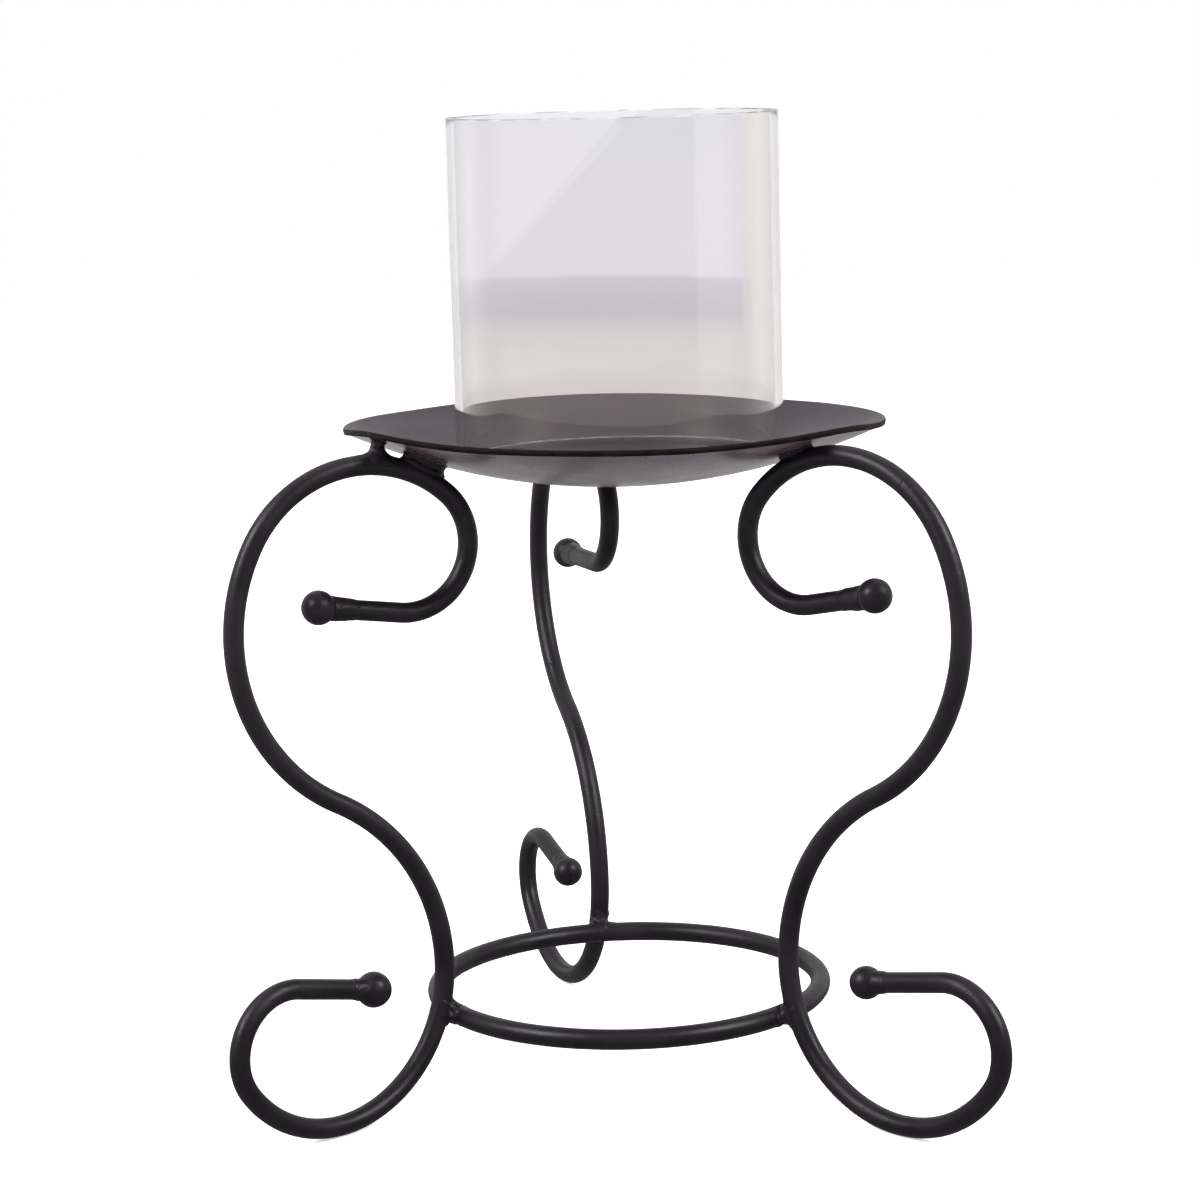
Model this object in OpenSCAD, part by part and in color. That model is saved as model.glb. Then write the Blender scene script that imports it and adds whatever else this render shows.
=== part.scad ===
// Torchere candle stand: three scroll legs bent from one round rod, a base ring, a shallow round
// dish and a loose glass chimney that stands in the dish. Millimetres, +Z up. The origin lies on
// the floor, straight below the centre of the base ring and of the dish.

/* [Rod] */
// Diameter of the rod that the legs and the base ring are bent from
rod_d = 6.2; // [4:0.2:7]
// Diameter of the ball on each end of a leg
ball_d = 10; // [9.5:0.5:14]
// Gap between two rods, or rod and dish, that a weld bridges
weld_gap = 0.2; // [0.1:0.1:0.6]

/* [Leg bends] */
// Radius of the bend that leads from the waist out to the belly
waist_bend_r = 62; // [50:1:75]
// Turn of that bend, in degrees
waist_bend_turn = 62; // [56:1:68]
// Turn of the foot bend, from the waist down and round the foot, in degrees
foot_bend_turn = 144.5; // [135:0.5:150]

/* [Left leg] */
// Direction of the left leg's waist, anticlockwise from +X
left_angle = 208.5; // [200:0.5:220]
// Turn of the left leg above its waist, away from straight outwards
left_upper_twist = 0; // [-12:0.5:12]
// Turn of the left leg below its waist, away from straight outwards
left_lower_twist = 14; // [-16:0.5:16]
// Radius of the left leg's belly bend
left_belly_r = 58.5; // [50:0.1:68]
// Turn of that bend, in degrees
left_belly_turn = 90; // [86:0.2:96]
// Radius of the left leg's shoulder bend, on which the dish lies
left_shoulder_r = 40.7; // [36:0.1:48]
// Turn of that bend, in degrees
left_shoulder_turn = 104.5; // [100:0.1:114]
// Radius of the left leg's upper curl
left_curl_r = 20; // [15:0.1:23]
// Turn of that curl, in degrees
left_curl_turn = 146.5; // [125:0.1:155]
// Straight end of that curl, to the centre of its ball
left_arm = 26.8; // [20:0.2:34]
// Radius of the left leg's foot bend
left_foot_r = 41; // [38:0.5:46]
// Radius of the curl that ends the left leg's foot
left_foot_curl_r = 18; // [14:0.1:22]
// Turn of that curl, in degrees
left_foot_curl_turn = 138; // [125:0.1:150]
// Straight end of the foot, to the centre of its ball
left_foot_arm = 28.8; // [22:0.1:34]

/* [Right leg] */
// Direction of the right leg's waist, anticlockwise from +X
right_angle = -40.5; // [-50:0.5:-30]
// Turn of the right leg above its waist, away from straight outwards
right_upper_twist = 0; // [-12:0.5:12]
// Turn of the right leg below its waist, away from straight outwards
right_lower_twist = -4; // [-16:0.5:16]
// Radius of the right leg's belly bend
right_belly_r = 58.5; // [50:0.1:68]
// Turn of that bend, in degrees
right_belly_turn = 90; // [86:0.2:96]
// Radius of the right leg's shoulder bend, on which the dish lies
right_shoulder_r = 39.6; // [36:0.1:48]
// Turn of that bend, in degrees
right_shoulder_turn = 111; // [100:0.1:114]
// Radius of the right leg's upper curl
right_curl_r = 19.1; // [15:0.1:23]
// Turn of that curl, in degrees
right_curl_turn = 142.2; // [125:0.1:155]
// Straight end of that curl, to the centre of its ball
right_arm = 24; // [20:0.2:34]
// Radius of the right leg's foot bend
right_foot_r = 42.5; // [38:0.5:46]
// Radius of the curl that ends the right leg's foot
right_foot_curl_r = 18.3; // [14:0.1:22]
// Turn of that curl, in degrees
right_foot_curl_turn = 136; // [125:0.1:150]
// Straight end of the foot, to the centre of its ball
right_foot_arm = 28.8; // [22:0.1:34]

/* [Back leg] */
// Direction of the back leg's waist, anticlockwise from +X
back_angle = 98; // [85:0.5:105]
// Turn of the back leg above its waist, away from straight outwards
back_upper_twist = 9.5; // [-12:0.5:12]
// Turn of the back leg below its waist, away from straight outwards
back_lower_twist = 12; // [-16:0.5:16]
// Radius of the back leg's belly bend
back_belly_r = 54.9; // [50:0.1:68]
// Turn of that bend, in degrees
back_belly_turn = 88.6; // [86:0.2:96]
// Radius of the back leg's shoulder bend, on which the dish lies
back_shoulder_r = 45.6; // [36:0.1:48]
// Turn of that bend, in degrees
back_shoulder_turn = 109.2; // [100:0.1:114]
// Radius of the back leg's upper curl
back_curl_r = 17.4; // [15:0.1:23]
// Turn of that curl, in degrees
back_curl_turn = 132.5; // [125:0.1:155]
// Straight end of that curl, to the centre of its ball
back_arm = 31.6; // [20:0.2:34]
// Radius of the back leg's foot bend
back_foot_r = 41; // [38:0.5:46]
// Radius of the curl that ends the back leg's foot
back_foot_curl_r = 16.7; // [14:0.1:22]
// Turn of that curl, in degrees
back_foot_curl_turn = 138.7; // [125:0.1:150]
// Straight end of the foot, to the centre of its ball
back_foot_arm = 24.9; // [22:0.1:34]

/* [Base ring] */
// Radius of the base ring, to the middle of its rod
ring_r = 60.5; // [52:0.1:70]
// Height of the base ring, to the middle of its rod
ring_z = 28; // [22:1:40]

/* [Dish] */
// Diameter of the dish
dish_d = 164.4; // [150:0.2:180]
// Depth of the dish, from its rim to its lowest point
dish_depth = 18.6; // [15:0.2:22]
// Thickness of the dish's sheet
sheet_t = 1.2; // [0.8:0.1:2]

/* [Glass chimney] */
// Outside diameter of the glass chimney
glass_d = 100; // [84:1:110]
// Height of the glass chimney
glass_h = 103.6; // [80:0.2:160]
// Wall of the glass chimney
glass_t = 2.4; // [1.6:0.2:4]
// How far the chimney stands to the right of the dish's middle
glass_shift = 1.6; // [-3:0.2:3]
// Clearance under the loose chimney
glass_seat_gap = 0.3; // [0.2:0.1:0.6]

/* [Welds] */
// Diameter of the weld bead between a leg and the base ring
ring_weld_d = 9.8; // [8:0.2:12]
// Length of the weld under the dish on the right and back legs
dish_weld_l = 13; // [9:1:16]
// Length of the filler weld under the dish on the left leg
left_weld_l = 13.6; // [10:0.2:18]
// Gap between that filler weld and the foot of the prop
prop_weld_gap = 7; // [5:0.2:9]
// Width of the welds under the dish
dish_weld_w = 4.8; // [4:0.2:5.4]
// Diameter of the weld collar behind each ball
collar_d = 7.8; // [7.2:0.2:8.6]
// Length of the weld collar behind each ball
collar_l = 3.4; // [2:0.2:5]
// How much thicker than the rod a collar still is at its thin end
collar_lip = 0.5; // [0.3:0.1:0.8]
// Diameter of the prop that stands under the dish's rim on the left leg
prop_d = 3.8; // [3:0.2:4.6]
// How much wider the prop's flared foot is than the rod
prop_flare = 0.8; // [0.4:0.1:1.2]
// Distance of the prop from the dish's edge
prop_inset = 2.4; // [2.4:0.2:6]

/* [Hidden] */
$fn = 64;
// facets round the wide circles, to which small welds are cut
fine = 360;

paint_black = [0.14, 0.12, 0.13];
dish_grey = [0.30, 0.28, 0.30];
clear_glass = [0.88, 0.88, 0.92, 0.35];

rod_r = rod_d / 2;
ball_r = ball_d / 2;
// one bend runs into the next under a slight swell of the rod
seam_swell = 0.04;
seam_d = rod_d + seam_swell;
// from a ball's centre to the flat on which the rod's end meets it
ball_flat = sqrt(ball_r * ball_r - rod_r * rod_r);

// each leg: direction, twist above the waist, twist below it, then its bends as [radius, turn]
left = [
  left_angle, left_upper_twist, left_lower_twist, [left_belly_r, left_belly_turn],
  [left_shoulder_r, left_shoulder_turn], [left_curl_r, left_curl_turn], left_arm,
  left_foot_r, [left_foot_curl_r, left_foot_curl_turn], left_foot_arm
];
right = [
  right_angle, right_upper_twist, right_lower_twist, [right_belly_r, right_belly_turn],
  [right_shoulder_r, right_shoulder_turn], [right_curl_r, right_curl_turn], right_arm,
  right_foot_r, [right_foot_curl_r, right_foot_curl_turn], right_foot_arm
];
back = [
  back_angle, back_upper_twist, back_lower_twist, [back_belly_r, back_belly_turn],
  [back_shoulder_r, back_shoulder_turn], [back_curl_r, back_curl_turn], back_arm,
  back_foot_r, [back_foot_curl_r, back_foot_curl_turn], back_foot_arm
];
LEGS = [left, right, back];
function direction(leg) = leg[0];
function upper_twist(leg) = leg[1];
function lower_twist(leg) = leg[2];
function belly(leg) = leg[3];
function shoulder(leg) = leg[4];
function curl(leg) = leg[5];
function arm(leg) = leg[6];
function foot_r(leg) = leg[7];
function foot_curl(leg) = leg[8];
function foot_arm(leg) = leg[9];
function radius(bend) = bend[0];
function turn(bend) = bend[1];

// the waist is where the rod runs upright: the foot below it stands on the floor
function waist_z(leg) = foot_r(leg) + rod_r;
// height of the waist above the base ring, and the slope of the line on which the two rods meet
function waist_rise(leg) = waist_z(leg) - ring_z;
function ring_slope(leg) = asin(waist_rise(leg) / (foot_r(leg) + rod_d + weld_gap));
function waist_r(leg) = ring_r + (foot_r(leg) + rod_d + weld_gap) * cos(ring_slope(leg)) - foot_r(leg);

// where a rod at [x, y, heading] is after a bend of radius r; side is 1 for left, -1 for right
function bent(at, r, turn, side) =
  let (cx = at[0] - side * r * sin(at[2]), cy = at[1] + side * r * cos(at[2]), heading = at[2] + side * turn)
  [cx + side * r * sin(heading), cy - side * r * cos(heading), heading];
belly_start = bent([0, 0, 90], waist_bend_r, waist_bend_turn, -1);
function shoulder_start(leg) = bent(belly_start, radius(belly(leg)), turn(belly(leg)), 1);
// centre of a leg's shoulder bend, out from the waist and up from it
function shoulder_x(leg) = shoulder_start(leg)[0] - radius(shoulder(leg)) * sin(shoulder_start(leg)[2]);
function shoulder_y(leg) = shoulder_start(leg)[1] + radius(shoulder(leg)) * cos(shoulder_start(leg)[2]);

// the dish is a cap of a round ball; its edge is cut square to the sheet
dish_r = dish_d / 2;
bowl_r = (dish_r * dish_r + dish_depth * dish_depth) / (2 * dish_depth);
rim_angle = asin(dish_r / bowl_r);
// the dish's axis passes each leg's upper plane at this distance
function axis_miss(leg) = waist_r(leg) * sin(upper_twist(leg));
function shoulder_out(leg) = waist_r(leg) * cos(upper_twist(leg)) + shoulder_x(leg);
// how high a leg's shoulder would hold the centre of the dish's ball
function bowl_reach(leg) = sqrt(pow(bowl_r + rod_r + weld_gap, 2) - pow(axis_miss(leg), 2));
function seat_z(leg) =
  waist_z(leg) + shoulder_y(leg)
  + sqrt(pow(radius(shoulder(leg)) + bowl_reach(leg), 2) - pow(shoulder_out(leg), 2));
bowl_z = max([for (leg = LEGS) seat_z(leg)]);
// slope of the line from a leg's shoulder centre to the centre of the dish's ball
function dish_slope(leg) = atan2(bowl_z - waist_z(leg) - shoulder_y(leg), -shoulder_out(leg));
// from the centre line of a leg's shoulder up to the dish, along that line
function dish_rise(leg) =
  norm([shoulder_out(leg), bowl_z - waist_z(leg) - shoulder_y(leg)])
  - sqrt(pow(bowl_r, 2) - pow(axis_miss(leg), 2)) - radius(shoulder(leg));

glass_r = glass_d / 2;
// the chimney's outer bottom edge comes down on the dish, first on the side that it is shifted to
glass_reach = glass_r + abs(glass_shift);
glass_z = bowl_z - sqrt(pow(bowl_r - sheet_t, 2) - pow(glass_reach, 2)) + glass_seat_gap;

// how far out along the left leg's upper plane the prop stands
prop_axis_r = dish_r - prop_inset;
prop_out = sqrt(pow(prop_axis_r, 2) - pow(axis_miss(left), 2)) - waist_r(left) * cos(upper_twist(left));
prop_foot_d = rod_d + prop_flare;
// from where the left shoulder comes closest to the dish, inward along the dish to the filler's middle
left_weld_in = left_weld_l / 2
  - (prop_out - prop_foot_d / 2 - prop_weld_gap - shoulder_x(left)
  - radius(shoulder(left)) * cos(dish_slope(left))) / sin(dish_slope(left));

module rod_section(r) {
  translate([r, 0]) circle(d = rod_d);
}

// a full ring of rod: the base ring, and what the welds are cut to
module rod_ring(r) {
  rotate_extrude($fn = fine) rod_section(r);
}

// a bend that starts at the origin along +Y; what follows it is placed at its far end
module bend(r, turn, side, drawn = true) {
  translate([-side * r, 0, 0]) {
    if (drawn) rotate([0, 0, side > 0 ? 0 : 180 - turn]) rotate_extrude(angle = turn) rod_section(r);
    rotate([0, 0, side * turn]) translate([side * r, 0, 0]) {
      if (drawn) sphere(d = seam_d);
      children();
    }
  }
}

// a straight end of rod that stops short of a ball; the ball's centre is where what follows goes
module arm_to_ball(length, drawn) {
  if (drawn) rotate([-90, 0, 0]) cylinder(d = rod_d, h = length - ball_flat);
  translate([0, length, 0]) children();
}

// a leg's plane: X out from the waist, Y up from it
module at_waist(leg, twist) {
  rotate([0, 0, direction(leg)]) translate([waist_r(leg), 0, waist_z(leg)])
    rotate([0, 0, twist]) rotate([90, 0, 0]) children();
}

module upper_scroll(leg, drawn = true) {
  at_waist(leg, upper_twist(leg))
    bend(waist_bend_r, waist_bend_turn, -1, drawn)
    bend(radius(belly(leg)), turn(belly(leg)), 1, drawn)
    bend(radius(shoulder(leg)), turn(shoulder(leg)), 1, drawn)
    bend(radius(curl(leg)), turn(curl(leg)), 1, drawn)
    arm_to_ball(arm(leg), drawn) children();
}

module foot_scroll(leg, drawn = true) {
  at_waist(leg, lower_twist(leg)) mirror([0, 1, 0])
    bend(foot_r(leg), foot_bend_turn, -1, drawn)
    bend(radius(foot_curl(leg)), turn(foot_curl(leg)), -1, drawn)
    arm_to_ball(foot_arm(leg), drawn) children();
}

module scroll_leg(leg) {
  color(paint_black) union() {
    upper_scroll(leg);
    at_waist(leg, 0) sphere(d = seam_d);
    foot_scroll(leg);
  }
}

// a ball with its flat turned to the rod, which comes from -Y
module ball() {
  color(paint_black) difference() {
    sphere(d = ball_d);
    translate([0, -ball_flat, 0]) rotate([90, 0, 0]) cylinder(d = ball_d, h = ball_d);
  }
}

// the weld collar that tapers from a ball back onto its rod
module ball_weld() {
  color(paint_black) difference() {
    translate([0, -ball_flat - collar_l, 0]) rotate([-90, 0, 0])
      cylinder(d1 = rod_d + collar_lip, d2 = collar_d, h = collar_l + ball_flat / 2);
    sphere(d = ball_d);
    rotate([90, 0, 0]) cylinder(d = rod_d, h = 2 * (collar_l + ball_d));
  }
}

module ball_welds_upper() {
  for (leg = LEGS) upper_scroll(leg, false) ball_weld();
}

module ball_welds_foot() {
  for (leg = LEGS) foot_scroll(leg, false) ball_weld();
}

module base_ring() {
  color(paint_black) translate([0, 0, ring_z]) rod_ring(ring_r);
}

// the bead that fills the corners where a leg stands against the base ring
module ring_weld(leg) {
  color(paint_black) difference() {
    rotate([0, 0, direction(leg)]) translate([ring_r, 0, ring_z]) rotate([0, 90 - ring_slope(leg), 0])
      cylinder(d = ring_weld_d, h = rod_d + weld_gap);
    translate([0, 0, ring_z]) rod_ring(ring_r);
    at_waist(leg, lower_twist(leg)) translate([foot_r(leg), 0, 0]) rod_ring(foot_r(leg));
  }
}

module bowl_ball() {
  translate([0, 0, bowl_z]) sphere(r = bowl_r, $fn = fine);
}

// a strip that stands on the centre line of a leg's shoulder, square to the dish
module shoulder_strip(leg, length, inward, height) {
  at_waist(leg, upper_twist(leg)) translate([shoulder_x(leg), shoulder_y(leg), 0])
    rotate([0, 0, dish_slope(leg) - 90]) translate([-inward, radius(shoulder(leg)), 0])
    rotate([-90, 0, 0])
    linear_extrude(height) round_strip(length, dish_weld_w);
}

module shoulder_ring(leg) {
  at_waist(leg, upper_twist(leg)) translate([shoulder_x(leg), shoulder_y(leg), 0])
    rod_ring(radius(shoulder(leg)));
}

// the weld that fills the wedge between a leg's shoulder and the dish
module dish_weld(leg, length, inward) {
  color(paint_black) difference() {
    shoulder_strip(leg, length, inward, 2 * rod_d);
    shoulder_ring(leg);
    bowl_ball();
  }
}

// the thin weld on the leg whose shoulder carries the dish: its flat top meets the dish at its middle
module seat_weld(leg) {
  tilt_allowance = dish_weld_w / 2 * abs(axis_miss(leg)) / bowl_r;
  color(paint_black) difference() {
    shoulder_strip(leg, dish_weld_l, 0, dish_rise(leg) - tilt_allowance);
    shoulder_ring(leg);
  }
}

module round_strip(length, width) {
  square([length - width, width], center = true);
  for (end = [-1, 1]) translate([end * (length - width) / 2, 0]) circle(d = width);
}

// the short prop from the left shoulder up to the dish's rim, flared where it stands on the rod
module rim_prop() {
  color(paint_black) difference() {
    at_waist(left, upper_twist(left)) translate([prop_out, 0, 0]) rotate([-90, 0, 0]) {
      translate([0, 0, shoulder_y(left) + radius(shoulder(left))]) cylinder(d = prop_d, h = 2 * rod_d);
      translate([0, 0, shoulder_y(left) + radius(shoulder(left))])
        cylinder(d1 = prop_foot_d, d2 = prop_d - sheet_t / 3, h = rod_d);
    }
    shoulder_ring(left);
    bowl_ball();
  }
}

module dish() {
  color(dish_grey) translate([0, 0, bowl_z]) rotate_extrude() intersection() {
    difference() {
      circle(r = bowl_r, $fn = fine);
      circle(r = bowl_r - sheet_t, $fn = fine);
    }
    polygon([[0, 0], [0, -2 * bowl_r], [2 * bowl_r * sin(rim_angle), -2 * bowl_r * cos(rim_angle)]]);
  }
}

module glass_chimney() {
  color(clear_glass) translate([glass_shift, 0, glass_z]) rotate_extrude() {
    translate([glass_r - glass_t, glass_t / 2]) square([glass_t, glass_h - glass_t]);
    for (z = [glass_t / 2, glass_h - glass_t / 2]) translate([glass_r - glass_t / 2, z]) circle(d = glass_t);
  }
}

scroll_leg(left);  // scroll_leg_left
scroll_leg(right);  // scroll_leg_right
scroll_leg(back);  // scroll_leg_back
upper_scroll(left, false) ball();  // upper_ball_left
upper_scroll(right, false) ball();  // upper_ball_right
upper_scroll(back, false) ball();  // upper_ball_back
foot_scroll(left, false) ball();  // foot_ball_left
foot_scroll(right, false) ball();  // foot_ball_right
foot_scroll(back, false) ball();  // foot_ball_back
base_ring();
dish();
rim_prop();
glass_chimney();
ring_weld(left);  // ring_weld_left
ring_weld(right);  // ring_weld_right
ring_weld(back);  // ring_weld_back
dish_weld(left, left_weld_l, left_weld_in);  // dish_weld_left
seat_weld(right);  // dish_weld_right
dish_weld(back, dish_weld_l, 0);  // dish_weld_back
ball_welds_upper();  // upper_ball_welds
ball_welds_foot();  // foot_ball_welds
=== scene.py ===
import math

import bmesh
import bpy
import numpy as np
from mathutils import Matrix, Vector


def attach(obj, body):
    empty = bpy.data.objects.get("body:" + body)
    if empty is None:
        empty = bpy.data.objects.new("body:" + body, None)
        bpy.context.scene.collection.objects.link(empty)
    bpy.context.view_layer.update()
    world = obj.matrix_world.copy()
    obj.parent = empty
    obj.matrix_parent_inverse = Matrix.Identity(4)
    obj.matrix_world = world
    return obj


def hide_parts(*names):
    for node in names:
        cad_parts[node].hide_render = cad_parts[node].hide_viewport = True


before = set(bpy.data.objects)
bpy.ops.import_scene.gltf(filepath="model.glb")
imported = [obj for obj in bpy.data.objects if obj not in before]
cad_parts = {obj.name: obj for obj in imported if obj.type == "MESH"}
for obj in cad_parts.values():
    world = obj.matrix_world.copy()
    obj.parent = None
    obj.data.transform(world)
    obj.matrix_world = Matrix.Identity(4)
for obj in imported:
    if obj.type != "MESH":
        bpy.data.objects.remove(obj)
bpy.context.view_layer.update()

# Sizes are in millimetres and angles in degrees, as in the part's source; meshes are written in metres.
MM = 0.001
UP = np.array([0.0, 0.0, 1.0])

# ---- unevenness of worked metal and glass ----
# a sum of waves, whose lengths are shares of the given size, and what the sum is divided by
RIPPLE_WAVES = 9
RIPPLE_LENGTHS = (0.6, 1.6)
RIPPLE_SUM = 3.5

# ---- rod and legs ----
ROD_D = 6.2
ROD_SIDES = 28
# the paint's skin wavers by this much over patches of this size, both in metres
ROD_UNEVENNESS = 0.00006
ROD_PATCH = 0.014
# the end balls differ a little in size and are a little dented
BALL_D = {
    "upper": {"left": 10.4, "right": 10.4, "back": 9.9},
    "foot": {"left": 10.9, "right": 10.0, "back": 9.9},
}
BALL_DENT = 0.008
BALL_DENT_SIZE = 7.0
WAIST_BEND = (62.0, 62.0, -1)
FOOT_BEND_TURN = 144.5
RING_R = 60.5
RING_Z = 28.0
# belly, shoulder and curls are bends of (radius, turn); twists turn the leg's plane at the waist
LEGS = {
    "left": {
        "angle": 208.5, "upper_twist": 0.0, "lower_twist": 14.0,
        "belly": (58.5, 90.0), "shoulder": (40.7, 104.5), "curl": (20.0, 146.5), "arm": 26.8,
        "foot_r": 41.0, "foot_curl": (18.0, 138.0), "foot_arm": 28.8,
    },
    "right": {
        "angle": -40.5, "upper_twist": 0.0, "lower_twist": -4.0,
        "belly": (58.5, 90.0), "shoulder": (39.6, 111.0), "curl": (19.1, 142.2), "arm": 24.0,
        "foot_r": 42.5, "foot_curl": (18.3, 136.0), "foot_arm": 28.8,
    },
    "back": {
        "angle": 98.0, "upper_twist": 9.5, "lower_twist": 12.0,
        "belly": (54.9, 88.6), "shoulder": (45.6, 109.2), "curl": (17.4, 132.5), "arm": 31.6,
        "foot_r": 41.0, "foot_curl": (16.7, 138.7), "foot_arm": 24.9,
    },
}

# ---- weld metal ----
WELD_GAP = 0.2
# how far the metal rounds off the corner between two pieces
FILLET = {
    "ring": 3.8, "seam": 2.4, "filler_rod": 3.6, "filler_dish": 2.6, "prop_foot": 4.0, "prop_top": 2.2,
}
# how high its lumps are
LUMP = {"ring": 0.22, "seam": 0.1, "filler": 0.2, "prop_foot": 0.12, "prop_top": 0.1, "collar": 0.14}
LUMP_SIZE = 2.6
COLLAR_LUMP_SIZE = 2.4
# reaches of the beads along their three axes
RING_BEAD = (6.6, 6.6, 6.6)
SEAM_BEAD = (7.0, 2.9, 4.0)
# a bead's surface is sought in steps; it stands out by the swell and draws in towards its end
BEAD_STEPS = 48
BEAD_SWELL = 0.12
BEAD_PULL_IN = 0.3
# only rod within this distance of a weld counts for its shape, which is followed in these steps
ROD_REACH = 18
UPPER_STEP = 0.3
FOOT_STEP = 0.4
# the filler wedge starts this far along the rod from the rim prop
FILLER_START = 7.0
FILLER_L = 13.6
FILLER_HALF_W = 2.0
FILLER_CORNER = 1.9
# how far its block, and the reach of its bead, go beyond half its length, its width and the gap
FILLER_BLOCK = (-0.6, 0.0, 2.4)
FILLER_REACH = (1.8, 1.6, 3.4)
COLLAR_SIDES = 36
# a collar's profile: distance from the ball's centre along the rod, and radius there
COLLARS = {
    "upper": (
        (2.6, 2.6), (3.2, 3.4), (3.7, 3.78), (4.3, 3.86), (5.4, 3.78), (7.0, 3.62), (8.6, 3.5),
        (10.2, 3.36), (11.4, 3.24), (12.2, 3.1), (12.8, 2.8),
    ),
    "foot": (
        (2.6, 2.5), (3.2, 3.2), (3.7, 3.56), (4.3, 3.62), (5.0, 3.54), (5.8, 3.42), (6.6, 3.32),
        (7.4, 3.24), (8.2, 3.16), (8.8, 3.06), (9.3, 2.8),
    ),
}

# ---- dish ----
DISH_R = 82.2
DISH_DEPTH = 18.6
SHEET_T = 1.2
BOWL_R = (DISH_R ** 2 + DISH_DEPTH ** 2) / (2 * DISH_DEPTH)
BOWL_Z = 378.418
DISH_OVAL = 1.0
DISH_LEAN = -0.7
DISH_AROUND = 360
DISH_RINGS = (0.0, 6, 12, 18, 24, 30, 36, 42, 48, 54, 60, 65, 70, 74, 77, 79, 80.4, 81.2)
# how far the hand-fitted rim stands above or below a true one, by angle round the dish
RIM_HEIGHTS = (
    (0, -1.4), (20, -1.7), (47, -1.8), (66, -0.9), (85, -0.2), (98, 0.0), (112, -0.1), (128, -0.6),
    (143, -0.9), (164, -0.5), (180, -0.3), (190, 0.2), (202, 1.7), (209, 2.2), (216, 1.9), (226, 1.15),
    (237, 0.3), (251, -0.15), (271, -0.6), (284, -0.78), (298, -0.4), (311, 0.24), (322, 0.65),
    (329, 0.45), (339, -0.6), (350, -1.2),
)
# their corners are rounded off over this many degrees to each side
RIM_SMOOTHING = 8
# the share of the radius outside which the rim's waviness sets in
RIM_START = 0.6
# depth of the bead under the rim, the share of it that is even and the share that follows the waves
RIM_BEAD = 0.55
RIM_BEAD_EVEN = 0.8
RIM_BEAD_WAVY = 0.5
# the cut edge is rough: waves per turn, and how high they are
EDGE_WAVES = (5, 9, 14, 23, 37, 61)
EDGE_CHATTER = 0.35
# how far the rim's edges lie beyond the dish's true radius, and the share of the waves added to that
EDGE_OUT = {"edge": 0.05, "edge_top": -0.2, "edge_under": -0.2}
EDGE_WAVINESS = 0.3

# ---- rim prop on the left shoulder ----
PROP_D = 3.8
# its middle lies this far inside the rim, and its top this far inside the sheet
PROP_INSET = 2.4
PROP_SUNK = 0.3
# under its fillets the post is thinner by this at each side
PROP_THINNER = 0.15
# the lower fillet ends this far above the rod's centre line
PROP_FILLET_END = 0.4
# middles of the two beads, above the rod's top and below the prop's top, and their reaches
PROP_BEAD_OFF = (0.3, 1.4)
PROP_BEAD_R = (8.2, 3.6)

# ---- glass chimney ----
GLASS_R = 50.4
GLASS_T = 2.4
GLASS_H = 103.6
GLASS_Z = 196.134
GLASS_SHIFT = 1.6
GLASS_AROUND = 256
GLASS_ROWS = 40
GLASS_SWAY = 0.06
GLASS_SWAY_SIZE = 60.0
GLASS_ARRIS = 0.35
ARRIS_STEPS = 6
# the top is cut a little out of true: lower in front, by this share of the distance
GLASS_TILT = 0.0144
GLASS_TOP_RISE = 0.1

# ---- paint ----
# noise between these limits runs from the first shade to the second
PATCH_LIMITS = (0.35, 0.68)
# a pit is full within the second distance of its middle and gone beyond the first
PIT_LIMITS = (0.28, 0.12)
SKIN_SCALE = 620.0
RELIEF_HEIGHT = 0.0002

# ---- what shows in the glass: painted reflections and shade, and the glass's own settings ----
# height in the glass, as a share of its height, and the tone that shows there: a painted reflection of the
# backdrop, cool above, warmer below, with a dark band between
GLASS_REFLECTED_TONES = (
    (0.0, (234, 228, 226)), (0.20, (235, 230, 228)), (0.25, (238, 234, 233)),
    (0.312, (236, 233, 231)), (0.364, (233, 230, 231)), (0.398, (229, 226, 228)),
    (0.426, (225, 221, 225)), (0.455, (225, 222, 226)), (0.524, (229, 226, 232)),
    (0.538, (239, 236, 241)), (0.75, (238, 236, 241)), (1.0, (235, 234, 239)),
)
# how edge on the wall is seen, and the grey that dims it there: painted shade on the walls seen edge on
GLASS_EDGE_SHADE_GREYS = (
    (0.25, 255), (0.33, 250), (0.40, 247), (0.47, 251), (0.54, 254), (0.61, 254), (0.71, 236), (0.85, 208),
)
# places below are in metres along the line of sight: the painted reflected tones lie lower at the back of
# the tube than at the front, and spread out towards the camera, 0.96 m away
GLASS_TONE_SLOPE = 0.06
SIGHT_SPREAD = -1 / 0.96
# the top edge of the painted dark band lies at these shares of the height, and drops away from its crown
BAND_EDGE = (0.524, 0.538)
ARCH_CROWN_X = -0.018
ARCH_DROP = 0.6
# a paler painted sheen, a reflection of the studio in the glass, lies left of a slanting line and right of
# an upright one, fainter below the band
PAINTED_SHEEN_TONE = (250, 248, 251)
SHEEN_SLANT = -1.05
SHEEN_LINE = (0.2915, 0.2931)
SHEEN_RIGHT = (0.0262, 0.0270)
LEFT_SHEEN = 0.4
RIGHT_SHEEN = 0.32
SHEEN_BELOW_BAND = 0.5
# painted reflection: walls seen edge on and the strip at the right are warmer, as the backdrop shows there
WARM_REFLECTION_TONE = (241, 238, 237)
WARM_STRIP = (0.0416, 0.0424)
EDGE_ON = (0.22, 0.42)
EDGE_ON_SHARE = 0.55
# tone of what the glass mirrors
GLOSS_TONE = (226, 223, 219)
GLASS_IOR = 1.46
CHIP_SCALE = 130.0
RIM_TONES = ((0.42, (172, 172, 180)), (0.55, (238, 236, 243)))

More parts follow.
